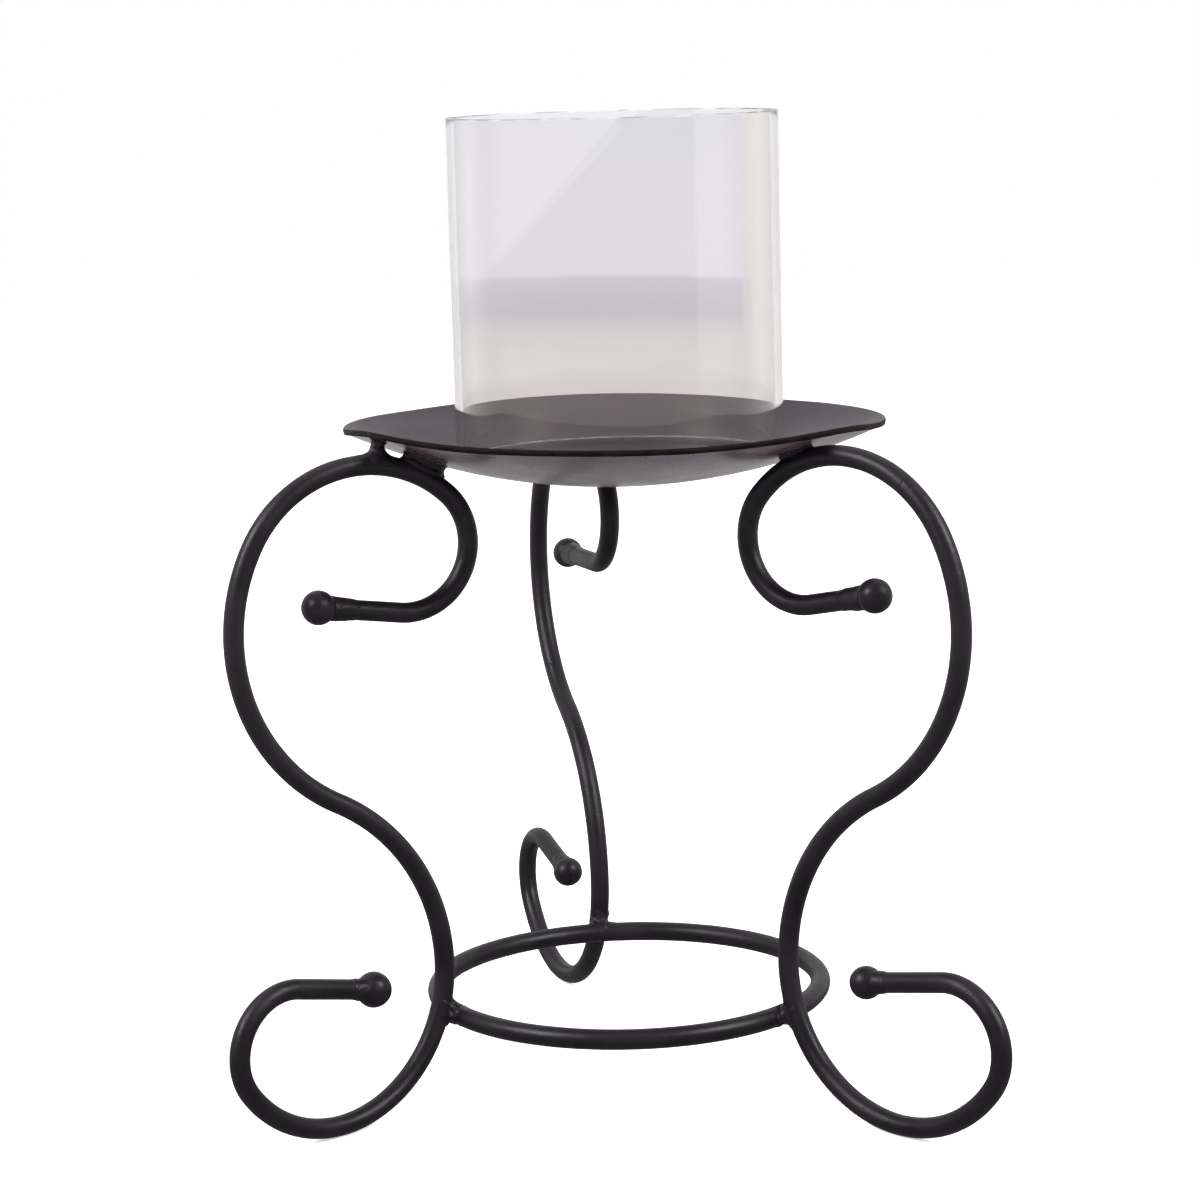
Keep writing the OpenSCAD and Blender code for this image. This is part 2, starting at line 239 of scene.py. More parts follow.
# ---- camera, light and floor: places in metres, turns in degrees ----
CAMERA_PLACE = (0, -0.960, 0.308)
CAMERA_TURNS = (9.3, -0.35, -1.57)
SENSOR_WIDTH = 36.0
# the focal length in pixels of the photograph's frame, and the frame's width in them
FOCAL_PIXELS = 3135
FRAME_PIXELS = 1200
LIGHT_TARGET = (0, 0, 0.15)
# name, place, side and power of each square light
LIGHTS = (
    ("left_light", (-1.0, -0.55, 0.95), 0.6, 24),
    ("right_light", (1.0, -0.55, 0.95), 0.6, 22),
    ("top_light", (0.0, 0.3, 1.9), 1.4, 6),
)
WHITE = (1, 1, 1, 1)
AMBIENT_COLOUR = (0.95, 0.95, 1.0, 1)
AMBIENT_STRENGTH = 0.42
# brightness of the mirrored room, from the camera's side (y of the first limit) to behind the stand
ROOM_LIMITS = (-0.3, 0.4)
ROOM_BRIGHTNESS = (0.35, 1.0)
FLOOR_HALF = 4.0
FLOOR_COLOUR = (0.86, 0.86, 0.86, 1)
# limits of distance from the stand between which the floor's own glow, its mirrored brightness and
# its fade into the room run from their near to their far values
GLOW_LIMITS = (0.18, 0.6)
GLOW = (0.5, 1.0)
# the mirrored brightness is painted shade near the stand: reflections show the floor dimmer there, as in
# the stand's shadow
MIRRORED_LIMITS = (0.12, 0.7)
MIRRORED = (0.3, 1.0)
FAR_LIMITS = (1.2, 3.6)


# ---- leg geometry ----

def unit(way):
    return way / np.linalg.norm(way)


def waist_z(leg):
    return leg["foot_r"] + ROD_D / 2


def ring_slope(leg):
    return math.asin((waist_z(leg) - RING_Z) / (leg["foot_r"] + ROD_D + WELD_GAP))


def waist_r(leg):
    return RING_R + (leg["foot_r"] + ROD_D + WELD_GAP) * math.cos(ring_slope(leg)) - leg["foot_r"]


def plane_axes(leg, twist):
    """Outward and sideways directions of a leg's plane that is turned by twist at the waist."""
    angle = math.radians(leg["angle"] + twist)
    outward = np.array([math.cos(angle), math.sin(angle), 0.0])
    sideways = np.array([-math.sin(angle), math.cos(angle), 0.0])
    return outward, sideways


def in_plane(leg, twist, out, up):
    """World point, in mm, of a point given outward of the waist and up from it."""
    waist = math.radians(leg["angle"])
    start = np.array([math.cos(waist), math.sin(waist), 0.0]) * waist_r(leg)
    outward, _ = plane_axes(leg, twist)
    return start + outward * out + UP * (waist_z(leg) + up)


def run_bends(bends, straight, step):
    """Points along a run of bends that starts at the waist, heading up, and ends in a straight."""
    x, y, heading = 0.0, 0.0, 90.0
    points = [(x, y)]
    for radius, turn, side in bends:
        cx = x - side * radius * math.sin(math.radians(heading))
        cy = y + side * radius * math.cos(math.radians(heading))
        count = max(2, round(radius * math.radians(turn) / step))
        for i in range(1, count + 1):
            h = math.radians(heading + side * turn * i / count)
            points.append((cx + side * radius * math.sin(h), cy - side * radius * math.cos(h)))
        x, y = points[-1]
        heading += side * turn
    count = max(1, round(straight / step))
    h = math.radians(heading)
    for i in range(1, count + 1):
        reach = straight * i / count
        points.append((x + reach * math.cos(h), y + reach * math.sin(h)))
    return points


def upper_run(leg, step=UPPER_STEP):
    """Centre line from the waist to the upper ball."""
    bends = (WAIST_BEND, (*leg["belly"], 1), (*leg["shoulder"], 1), (*leg["curl"], 1))
    run = run_bends(bends, leg["arm"], step)
    return np.array([in_plane(leg, leg["upper_twist"], out, up) for out, up in run])


def foot_run(leg, step=FOOT_STEP):
    """Centre line from the waist to the foot ball."""
    bends = ((leg["foot_r"], FOOT_BEND_TURN, -1), (*leg["foot_curl"], -1))
    run = run_bends(bends, leg["foot_arm"], step)
    return np.array([in_plane(leg, leg["lower_twist"], out, -up) for out, up in run])


def leg_line(leg, step=1.2):
    """Centre line of a leg's rod, from the upper ball's centre to the foot ball's centre."""
    return np.concatenate([upper_run(leg, step)[::-1], foot_run(leg, step)[1:]])


def ring_line(step=1.5):
    count = round(2 * math.pi * RING_R / step)
    turns = [2 * math.pi * i / count for i in range(count)]
    return np.array([(RING_R * math.cos(a), RING_R * math.sin(a), RING_Z) for a in turns])


def shoulder_centre(leg):
    run = run_bends((WAIST_BEND, (*leg["belly"], 1)), 0.0, 1.0)
    x, y = run[-1]
    heading = math.radians(90.0 - WAIST_BEND[1] + leg["belly"][1])
    radius = leg["shoulder"][0]
    return x - radius * math.sin(heading), y + radius * math.cos(heading)


def dish_seat(leg):
    """Where a leg's shoulder comes closest to the dish: a world point on top of the rod, with the
    directions along the rod (outward), across it, and towards the dish."""
    sx, sy = shoulder_centre(leg)
    out = waist_r(leg) * math.cos(math.radians(leg["upper_twist"])) + sx
    slope = math.atan2(BOWL_Z - waist_z(leg) - sy, -out)
    outward, across = plane_axes(leg, leg["upper_twist"])
    to_dish = outward * math.cos(slope) + UP * math.sin(slope)
    along = outward * math.sin(slope) - UP * math.cos(slope)
    reach = leg["shoulder"][0] + ROD_D / 2
    point = in_plane(leg, leg["upper_twist"], sx + reach * math.cos(slope), sy + reach * math.sin(slope))
    return point, along, across, to_dish


# ---- dish geometry ----

def smooth_rim_heights():
    """The measured rim heights at each degree, with their corners rounded off."""
    turns = np.arange(0, 361)
    knots, heights = zip(*RIM_HEIGHTS)
    lifts = np.interp(turns[:-1], knots, heights, period=360)
    window = np.hanning(2 * RIM_SMOOTHING + 1)
    window = window / window.sum()
    ringed = np.concatenate([lifts[-RIM_SMOOTHING:], lifts, lifts[:RIM_SMOOTHING]])
    lifts = np.convolve(ringed, window, mode="valid")
    return turns, np.append(lifts, lifts[0])


RIM_TURNS, RIM_LIFTS = smooth_rim_heights()


def dish_lift(x, y):
    """How far the leaning, wavy dish stands above a true one at x, y."""
    share = np.sqrt(x * x + y * y) / DISH_R
    turn = np.arctan2(y, x)
    lean = DISH_LEAN * np.cos(turn)
    rim = np.interp(np.degrees(turn) % 360, RIM_TURNS, RIM_LIFTS)
    outer = np.clip((share - RIM_START) / (1 - RIM_START), 0, 1)
    return share * lean + outer ** 2 * (3 - 2 * outer) * (rim - lean)


def underside_z(x, y):
    return BOWL_Z - np.sqrt(BOWL_R ** 2 - x * x - y * y) + dish_lift(x, y)


# ---- distance fields for the welds ----

def near_rod(line, spot):
    """Distance to the rod that follows a line, as far as it counts for a weld at a spot."""
    stretch = line[np.linalg.norm(line - spot, axis=1) < ROD_REACH]

    def distance(p):
        gaps = np.linalg.norm(p[:, None, :] - stretch[None, :, :], axis=2)
        return gaps.min(axis=1) - ROD_D / 2
    return distance


def rod_axes(leg, line, place):
    """Directions along the rod, across it and upwards, at one place of an upper run's line."""
    along = unit(line[place + 1] - line[place - 1])
    _, across = plane_axes(leg, leg["upper_twist"])
    up = np.cross(along, across)
    return along, across, up * math.copysign(1, up[2])


def near_ring(p):
    radial = np.sqrt(p[:, 0] ** 2 + p[:, 1] ** 2) - RING_R
    return np.sqrt(radial ** 2 + (p[:, 2] - RING_Z) ** 2) - ROD_D / 2


def near_dish(p):
    """Distance below the dish's underside; it is less than nothing inside the sheet and above it."""
    x, y = p[:, 0], p[:, 1]
    slant = np.sqrt(1 - np.clip((x * x + y * y) / BOWL_R ** 2, 0, 0.5))
    return (underside_z(x, y) - p[:, 2]) * slant


def near_block(middle, axes, half, corner):
    """Distance to a block with rounded corners, which stands along the given axes."""

    def distance(p):
        local = np.abs((p - middle) @ np.array(axes).T) - half + corner
        outside = np.linalg.norm(np.clip(local, 0, None), axis=1)
        return outside + np.clip(local.max(axis=1), None, 0) - corner
    return distance


def near_post(foot, top, radius):
    """Distance to a round post with round ends."""
    axis = top - foot
    length = np.linalg.norm(axis)
    axis = axis / length

    def distance(p):
        along = np.clip((p - foot) @ axis, 0, length)
        return np.linalg.norm(p - foot - along[:, None] * axis, axis=1) - radius
    return distance


def melted(a, b, blend):
    """Two fields run together with a fillet."""
    h = np.clip(blend - np.abs(a - b), 0, None) / blend
    return np.minimum(a, b) - h * h * blend / 4


def ripple(p, size, seed):
    """Smooth unevenness between -1 and 1, from a few fixed waves."""
    rng = np.random.default_rng(seed)
    total = np.zeros(len(p))
    for _ in range(RIPPLE_WAVES):
        way = unit(rng.normal(size=3))
        length = size * rng.uniform(*RIPPLE_LENGTHS)
        total = total + np.sin(p @ way * 2 * math.pi / length + rng.uniform(0, 2 * math.pi))
    return total / RIPPLE_SUM


# ---- meshes ----

def placed(name, data):
    """New object in the scene that shows a mesh, a light or a camera."""
    made = bpy.data.objects.new(name, data)
    bpy.context.scene.collection.objects.link(made)
    return made


def in_metres(points):
    return [tuple(float(c) * MM for c in p) for p in points]


def mesh_object(name, points, faces, *paints):
    """A piece at the origin, its points given in millimetres."""
    mesh = bpy.data.meshes.new(name)
    mesh.from_pydata(in_metres(points), [], faces)
    mesh.validate()
    mesh.shade_smooth()
    for paint in paints:
        mesh.materials.append(paint)
    return placed(name, mesh)


def ball_net(level):
    """Directions and triangles of an evenly divided ball."""
    shape = bmesh.new()
    bmesh.ops.create_icosphere(shape, subdivisions=level, radius=1.0)
    shape.verts.ensure_lookup_table()
    ways = np.array([v.co[:] for v in shape.verts])
    faces = [tuple(v.index for v in f.verts) for f in shape.faces]
    shape.free()
    return ways, faces


BALL_NET = ball_net(5)


def bead(centre, axes, reach, field, seed, lump):
    """Points of a weld bead: from its centre outwards to where the melted metal ends."""
    ways, faces = BALL_NET
    spread = ways @ (np.array(axes) * np.array(reach)[:, None])
    ends = np.full(len(ways), 1.0)
    before = np.full(len(ways), -1.0)
    found = np.zeros(len(ways), bool)
    for i in range(1, BEAD_STEPS + 1):
        t = i / BEAD_STEPS
        p = centre + spread * t
        value = field(p) - lump * ripple(p, LUMP_SIZE, seed) - BEAD_SWELL + BEAD_PULL_IN * t ** 3
        crossing = (value > 0) & ~found
        share = np.clip(-before / np.maximum(value - before, 1e-6), 0, 1)
        ends[crossing] = (i - 1 + share[crossing]) / BEAD_STEPS
        found |= crossing
        before = np.where(found, before, value)
    return centre + spread * ends[:, None], faces


def band_faces(a, b, around):
    """Faces between two rings of points, which start at points a and b."""
    return [(a + j, a + (j + 1) % around, b + (j + 1) % around, b + j) for j in range(around)]


def lathe_faces(count, around):
    """Faces of a closed body whose points are one pole, count rings of points, and the other pole."""
    faces = [(0, 1 + (j + 1) % around, 1 + j) for j in range(around)]
    final = 1 + (count - 1) * around
    for a in range(1, final, around):
        faces += band_faces(a, a + around, around)
    last = final + around
    return faces + [(last, final + j, final + (j + 1) % around) for j in range(around)]


def turned(start, way, profile, around, unevenness, seed):
    """Closed, slightly lumpy body of revolution; its profile holds (distance along the axis, radius)
    from end to end."""
    side = unit(np.cross(way, UP))
    other = np.cross(way, side)
    points = [start + way * profile[0][0]]
    for place, radius in profile:
        for j in range(around):
            a = 2 * math.pi * j / around
            points.append(start + way * place + (side * math.cos(a) + other * math.sin(a)) * radius)
    points.append(start + way * profile[-1][0])
    points = np.array(points)
    shares = np.repeat(np.arange(len(profile)) / (len(profile) - 1), around)
    places = np.concatenate([[0.0], shares, [1.0]])
    out = points - start - ((points - start) @ way)[:, None] * way
    length = np.maximum(np.linalg.norm(out, axis=1), 1e-6)
    swell = unevenness * ripple(points, COLLAR_LUMP_SIZE, seed) * np.sin(places * math.pi)
    points = points + out * (swell / length)[:, None]
    return points, lathe_faces(len(profile), around)


def bead_object(name, beads, paint):
    """One piece of one or more closed bodies, each given as points and faces."""
    points = []
    faces = []
    for p, f in beads:
        start = len(points)
        points.extend(p.tolist())
        faces.extend(tuple(i + start for i in face) for face in f)
    return mesh_object(name, points, faces, paint)


# ---- node helpers ----

def set_values(made, values):
    """Gives a node's inputs their values, by name."""
    for key, value in values.items():
        made.inputs[key].default_value = value


def node(tree, kind, at, values=None, **settings):
    """New node at a place in the editor, with its settings and the values of its inputs."""
    made = tree.nodes.new(kind)
    made.location = at
    for key, value in settings.items():
        setattr(made, key, value)
    set_values(made, values or {})
    return made


def join(tree, *pairs):
    """Links each output to the input that is paired with it."""
    for source, target in pairs:
        tree.links.new(source, target)


def reckoned(tree, operation, values, at):
    """Math node over sockets and plain numbers."""
    made = node(tree, "ShaderNodeMath", at, operation=operation)
    for place, value in enumerate(values):
        if isinstance(value, (int, float)):
            made.inputs[place].default_value = value
        else:
            join(tree, (value, made.inputs[place]))
    return made.outputs[0]


def masked(tree, value, limits, at, top=1.0, bottom=0.0):
    """The bottom value below the first limit, the top value above the second."""
    made = node(tree, "ShaderNodeMapRange", at, {
        "From Min": limits[0], "From Max": limits[1], "To Min": bottom, "To Max": top,
    })
    join(tree, (value, made.inputs["Value"]))
    return made.outputs["Result"]


def mixed_shaders(tree, share, first, second, at):
    """The first shader where the share is 0, the second where it is 1."""
    made = node(tree, "ShaderNodeMixShader", at)
    ends = (share, first.outputs[0], second.outputs[0])
    join(tree, *zip(ends, made.inputs))
    return made


def group_ends(tree, inputs, outputs):
    """Inputs (name, kind, and default if it has one) and outputs (name, kind) of a node group."""
    sockets = {}
    for name, kind, *default in inputs:
        made = tree.interface.new_socket(name, in_out="INPUT", socket_type=kind)
        if default:
            made.default_value = default[0]
        sockets[name] = made.identifier
    for name, kind in outputs:
        tree.interface.new_socket(name, in_out="OUTPUT", socket_type=kind)
    return sockets, node(tree, "NodeGroupInput", (-900, 0)), node(tree, "NodeGroupOutput", (900, 0))


def rgb(tone):
    """Linear colour of an sRGB tone of 0 to 255."""
    shares = [c / 255 for c in tone]
    return (*(s / 12.92 if s <= 0.04045 else ((s + 0.055) / 1.055) ** 2.4 for s in shares), 1.0)


def tone_ramp(tree, stops, at):
    """Colour ramp through (position, sRGB tone) stops."""
    made = node(tree, "ShaderNodeValToRGB", at)
    ramp = made.color_ramp
    for element, (position, tone) in zip(ramp.elements, (stops[0], stops[-1])):
        element.position = position
        element.color = rgb(tone)
    for position, tone in stops[1:-1]:
        ramp.elements.new(position).color = rgb(tone)
    return made


# ---- bent rod, made by geometry nodes ----

def bent_rod_tree():
    """Rod swept along the piece's own line, with the slight unevenness of hand-bent, painted rod."""
    tree = bpy.data.node_groups.new("bent_rod", "GeometryNodeTree")
    tree.is_modifier = True
    inputs = [
        ("Geometry", "NodeSocketGeometry"),
        ("Rod Diameter", "NodeSocketFloat", ROD_D * MM),
        ("Unevenness", "NodeSocketFloat", ROD_UNEVENNESS),
        ("Patch Size", "NodeSocketFloat", ROD_PATCH),
        ("Seed", "NodeSocketFloat"),
        ("Paint", "NodeSocketMaterial"),
    ]
    sockets, start, end = group_ends(tree, inputs, [("Geometry", "NodeSocketGeometry")])
    line = node(tree, "GeometryNodeMeshToCurve", (-700, 100))
    radius = reckoned(tree, "MULTIPLY", (start.outputs["Rod Diameter"], 0.5), (-700, -80))
    section = node(tree, "GeometryNodeCurvePrimitiveCircle", (-520, -80), {"Resolution": ROD_SIDES})
    sweep = node(tree, "GeometryNodeCurveToMesh", (-320, 60), {"Fill Caps": True})
    normal = node(tree, "GeometryNodeInputNormal", (-320, -160))
    frequency = reckoned(tree, "DIVIDE", (1.0, start.outputs["Patch Size"]), (-520, -300))
    noise = node(tree, "ShaderNodeTexNoise", (-320, -300), {"Detail": 1.0}, noise_dimensions="4D")
    centred = reckoned(tree, "SUBTRACT", (noise.outputs[0], 0.5), (-140, -300))
    height = reckoned(tree, "MULTIPLY", (centred, start.outputs["Unevenness"]), (20, -300))
    shift = node(tree, "ShaderNodeVectorMath", (180, -200), operation="SCALE")
    moved = node(tree, "GeometryNodeSetPosition", (340, 60))
    smooth = node(tree, "GeometryNodeSetShadeSmooth", (500, 60))
    realize = node(tree, "GeometryNodeRealizeInstances", (640, 60))
    paint = node(tree, "GeometryNodeSetMaterial", (780, 60))
    join(
        tree,
        (start.outputs["Geometry"], line.inputs["Mesh"]),
        (radius, section.inputs["Radius"]),
        (line.outputs["Curve"], sweep.inputs["Curve"]),
        (section.outputs["Curve"], sweep.inputs["Profile Curve"]),
        (frequency, noise.inputs["Scale"]),
        (start.outputs["Seed"], noise.inputs["W"]),
        (normal.outputs["Normal"], shift.inputs[0]),
        (height, shift.inputs["Scale"]),
        (sweep.outputs["Mesh"], moved.inputs["Geometry"]),
        (shift.outputs["Vector"], moved.inputs["Offset"]),
        (start.outputs["Paint"], paint.inputs["Material"]),
    )
    chain = (moved, smooth, realize, paint, end)
    for before, after in zip(chain, chain[1:]):
        join(tree, (before.outputs["Geometry"], after.inputs["Geometry"]))
    return tree, sockets


def bent_rod(name, points, closed, seed, paint):
    """One length of rod along a line of points in millimetres, as a plain mesh."""
    edges = [(i, i + 1) for i in range(len(points) - 1)]
    if closed:
        edges.append((len(points) - 1, 0))
    wire = bpy.data.meshes.new(name + "_line")
    wire.from_pydata(in_metres(points), edges, [])
    path = placed(name + "_line", wire)
    rod = path.modifiers.new("bent_rod", "NODES")
    rod.node_group = ROD_TREE
    rod[ROD_SOCKETS["Seed"]] = float(seed)
    rod[ROD_SOCKETS["Paint"]] = paint
    bpy.context.view_layer.update()
    made = path.evaluated_get(bpy.context.evaluated_depsgraph_get())
    mesh = bpy.data.meshes.new_from_object(made)
    mesh.name = name
    bpy.data.objects.remove(path)
    return placed(name, mesh)


# ---- shared material effects ----

def mottled_paint_group():
    """Brushed-on or sprayed paint that has dried unevenly: a colour that drifts between two tones,
    small pits, a mask for gloss, and a height for the skin of the paint."""
    tree = bpy.data.node_groups.new("mottled_paint", "ShaderNodeTree")
    inputs = [
        ("Colour", "NodeSocketColor"),
        ("Second Tone", "NodeSocketColor"),
        ("Pit Colour", "NodeSocketColor"),
        ("Patch Size", "NodeSocketFloat"),
        ("Pit Size", "NodeSocketFloat"),
        ("Pit Share", "NodeSocketFloat"),
    ]
    outputs = [
        ("Colour", "NodeSocketColor"),
        ("Gloss Mask", "NodeSocketFloat"),
        ("Height", "NodeSocketFloat"),
    ]
    _, start, end = group_ends(tree, inputs, outputs)
    place = node(tree, "ShaderNodeTexCoord", (-900, -300))
    patch_scale = reckoned(tree, "DIVIDE", (1.0, start.outputs["Patch Size"]), (-700, -60))
    patches = node(tree, "ShaderNodeTexNoise", (-520, 0), {"Detail": 3.0})
    spread = masked(tree, patches.outputs[0], PATCH_LIMITS, (-340, 0))
    tone = node(tree, "ShaderNodeMix", (-140, 120), data_type="RGBA")
    pit_scale = reckoned(tree, "DIVIDE", (1.0, start.outputs["Pit Size"]), (-700, -260))
    pits = node(tree, "ShaderNodeTexVoronoi", (-520, -300))
    pit_edge = masked(tree, pits.outputs["Distance"], PIT_LIMITS, (-340, -260))
    which = node(tree, "ShaderNodeSeparateColor", (-520, -560))
    chance = reckoned(tree, "LESS_THAN", (which.outputs["Red"], start.outputs["Pit Share"]), (-340, -520))
    pit = reckoned(tree, "MULTIPLY", (pit_edge, chance), (-140, -320))
    coloured = node(tree, "ShaderNodeMix", (120, 120), data_type="RGBA")
    skin = node(tree, "ShaderNodeTexNoise", (-340, -760), {"Scale": SKIN_SCALE, "Detail": 2.0})
    sunk = reckoned(tree, "SUBTRACT", (skin.outputs[0], pit), (120, -420))
    join(
        tree,
        (patch_scale, patches.inputs["Scale"]),
        (spread, tone.inputs["Factor"]),
        (start.outputs["Colour"], tone.inputs["A"]),
        (start.outputs["Second Tone"], tone.inputs["B"]),
        (pit_scale, pits.inputs["Scale"]),
        (pits.outputs["Color"], which.inputs["Color"]),
        (pit, coloured.inputs["Factor"]),
        (tone.outputs["Result"], coloured.inputs["A"]),
        (start.outputs["Pit Colour"], coloured.inputs["B"]),
        (coloured.outputs["Result"], end.inputs["Colour"]),
        (spread, end.inputs["Gloss Mask"]),
        (sunk, end.inputs["Height"]),
    )
    join(tree, *((place.outputs["Object"], made.inputs["Vector"]) for made in (patches, pits, skin)))
    return tree


def new_material(name):
    made = bpy.data.materials.new(name)
    made.use_nodes = True
    tree = made.node_tree
    shader = tree.nodes["Principled BSDF"]
    return made, tree, shader


def painted(name, tones, patch, pits, gloss, relief, level):
    """A paint made of the shared mottle. Tones are sRGB, of the paint's two shades and of its pits;
    pits are (size, share) and gloss is (roughness where glossy, where dull); sizes are in metres."""
    made, tree, shader = new_material(name)
    mottle = node(tree, "ShaderNodeGroup", (-520, 100), node_tree=MOTTLE)
    set_values(mottle, {
        "Colour": rgb(tones[0]), "Second Tone": rgb(tones[1]), "Pit Colour": rgb(tones[2]),
        "Patch Size": patch, "Pit Size": pits[0], "Pit Share": pits[1],
    })
    roughness = masked(tree, mottle.outputs["Gloss Mask"], (0.0, 1.0), (-260, -60), gloss[1], gloss[0])
    bump = node(tree, "ShaderNodeBump", (-260, -320), {"Strength": relief, "Distance": RELIEF_HEIGHT})
    join(
        tree,
        (roughness, shader.inputs["Roughness"]),
        (mottle.outputs["Height"], bump.inputs["Height"]),
        (bump.outputs["Normal"], shader.inputs["Normal"]),
        (mottle.outputs["Colour"], shader.inputs["Base Color"]),
    )
    set_values(shader, {"Specular IOR Level": level})
    return made


def black_rod_paint():
    return painted(
        "black_rod_paint", tones=((15, 10, 16), (24, 18, 25), (8, 5, 7)), patch=0.018,
        pits=(0.0022, 0.10), gloss=(0.38, 0.5), relief=0.45, level=0.22,
    )


def weld_paint():
    return painted(
        "weld_paint", tones=((15, 10, 15), (25, 18, 24), (8, 6, 7)), patch=0.006,
        pits=(0.0012, 0.15), gloss=(0.38, 0.52), relief=0.5, level=0.22,
    )


def dish_paint():
    return painted(
        "dish_paint", tones=((47, 36, 46), (55, 44, 54), (30, 25, 27)), patch=0.03,
        pits=(0.0018, 0.05), gloss=(0.42, 0.55), relief=0.2, level=0.29,
    )


# the same paint as the dish's top; its lighter tones are painted light, the white floor's reflection under
# the dish put into its colour
def dish_under_paint_painted_light():
    return painted(
        "dish_under_paint_painted_light", tones=((60, 43, 52), (80, 62, 70), (16, 12, 12)), patch=0.026,
        pits=(0.0020, 0.24), gloss=(0.24, 0.36), relief=0.3, level=0.7,
    )


def dish_edge_paint():
    return painted(
        "dish_edge_paint", tones=((12, 7, 5), (24, 16, 13), (6, 4, 3)), patch=0.005,
        pits=(0.0016, 0.25), gloss=(0.5, 0.7), relief=0.6, level=0.06,
    )


def clear_glass():
    """Clear tube glass, with a painted reflection of the backdrop in its colour: cool above and warmer
    below, a paler painted sheen at both sides, a warm strip down the right edge, and painted shade where
    the walls are seen edge on."""
    made, tree, shader = new_material("clear_glass")
    place = node(tree, "ShaderNodeTexCoord", (-1900, 0))
    split = node(tree, "ShaderNodeSeparateXYZ", (-1700, 0))
    x, y, z = (split.outputs[axis] for axis in "XYZ")
    spread = reckoned(tree, "MULTIPLY", (x, y), (-1500, 200))
    sight_x = reckoned(tree, "MULTIPLY_ADD", (spread, SIGHT_SPREAD, x), (-1300, 200))
    sight_z = reckoned(tree, "MULTIPLY_ADD", (y, GLASS_TONE_SLOPE, z), (-1300, 0))
    off_crown = reckoned(tree, "SUBTRACT", (sight_x, ARCH_CROWN_X), (-1100, 100))
    arch = reckoned(tree, "MULTIPLY", (off_crown, off_crown), (-920, 100))
    level = reckoned(tree, "MULTIPLY_ADD", (arch, ARCH_DROP, sight_z), (-740, 0))
    share = masked(tree, level, (GLASS_Z * MM, (GLASS_Z + GLASS_H) * MM), (-580, -60))
    # painted reflection of the backdrop: tones by height along the line of sight
    tones = tone_ramp(tree, GLASS_REFLECTED_TONES, (-400, 0))
    # painted sheen: the studio's reflection put into the glass's colour at both sides
    slanted = reckoned(tree, "MULTIPLY_ADD", (sight_x, SHEEN_SLANT, sight_z), (-1100, -200))
    left_sheen = masked(tree, slanted, SHEEN_LINE, (-900, -200), LEFT_SHEEN)
    right_sheen = masked(tree, sight_x, SHEEN_RIGHT, (-900, -400), RIGHT_SHEEN)
    either = reckoned(tree, "MAXIMUM", (left_sheen, right_sheen), (-700, -300))
    above_band = masked(tree, share, BAND_EDGE, (-700, -500), 1.0, SHEEN_BELOW_BAND)
    sheen = reckoned(tree, "MULTIPLY", (either, above_band), (-500, -400))
    paler = node(tree, "ShaderNodeMix", (-120, -100), {"B": rgb(PAINTED_SHEEN_TONE)}, data_type="RGBA")
    facing = node(tree, "ShaderNodeLayerWeight", (-920, 460), {"Blend": 0.5})
    # painted reflection: warmer where the walls are seen edge on and in a strip down the right
    edge_on = masked(tree, facing.outputs["Facing"], EDGE_ON, (-700, 400), EDGE_ON_SHARE)
    strip = masked(tree, sight_x, WARM_STRIP, (-700, 200))
    edge = reckoned(tree, "MAXIMUM", (edge_on, strip), (-500, 300))
    # painted shade: the walls darken as they are seen more edge on
    edge_stops = [(position, [grey] * 3) for position, grey in GLASS_EDGE_SHADE_GREYS]
    edge_shade = tone_ramp(tree, edge_stops, (-400, 300))
    sided = node(tree, "ShaderNodeMix", (80, 120), {"B": rgb(WARM_REFLECTION_TONE)}, data_type="RGBA")
    tinted = node(
        tree, "ShaderNodeMix", (260, 120), {"Factor": 1.0}, data_type="RGBA", blend_type="MULTIPLY",
    )
    join(
        tree,
        (place.outputs["Object"], split.inputs["Vector"]),
        (share, tones.inputs["Fac"]),
        (facing.outputs["Facing"], edge_shade.inputs["Fac"]),
        (sheen, paler.inputs["Factor"]),
        (tones.outputs["Color"], paler.inputs["A"]),
        (edge, sided.inputs["Factor"]),
        (paler.outputs["Result"], sided.inputs["A"]),
        (sided.outputs["Result"], tinted.inputs["A"]),
        (edge_shade.outputs["Color"], tinted.inputs["B"]),
        (tinted.outputs["Result"], shader.inputs["Base Color"]),
    )
    set_values(shader, {
        "Specular Tint": rgb(GLOSS_TONE), "Transmission Weight": 0.98, "Roughness": 0.0, "IOR": GLASS_IOR,
    })
    return made


def ground_glass_rim():
    """The cut rims of the tube: ground, slightly frosted glass with small chips."""
    made, tree, shader = new_material("ground_glass_rim")
    place = node(tree, "ShaderNodeTexCoord", (-900, 0))
    chips = node(tree, "ShaderNodeTexNoise", (-700, 0), {"Scale": CHIP_SCALE, "Detail": 3.0})
    tones = tone_ramp(tree, RIM_TONES, (-400, 0))
    join(
        tree,
        (place.outputs["Object"], chips.inputs["Vector"]),
        (chips.outputs[0], tones.inputs["Fac"]),
        (tones.outputs["Color"], shader.inputs["Base Color"]),
    )
    set_values(shader, {"Transmission Weight": 0.75, "Roughness": 0.5, "IOR": GLASS_IOR})
    return made


# ---- pieces ----

def make_legs(paint):
    for seed, (side, leg) in enumerate(LEGS.items()):
        piece = bent_rod(f"scroll_leg_rod_{side}", leg_line(leg), False, seed, paint)
        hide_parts(f"scroll_leg_{side}")
        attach(piece, "stand")


def make_base_ring(paint):
    piece = bent_rod("base_ring_rod", ring_line(), True, 9, paint)
    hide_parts("base_ring")
    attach(piece, "stand")


def leg_end(leg, level):
    """Centre of a leg's ball and the direction in which its rod runs into it."""
    run = upper_run(leg) if level == "upper" else foot_run(leg)
    return run[-1], unit(run[-1] - run[-2])


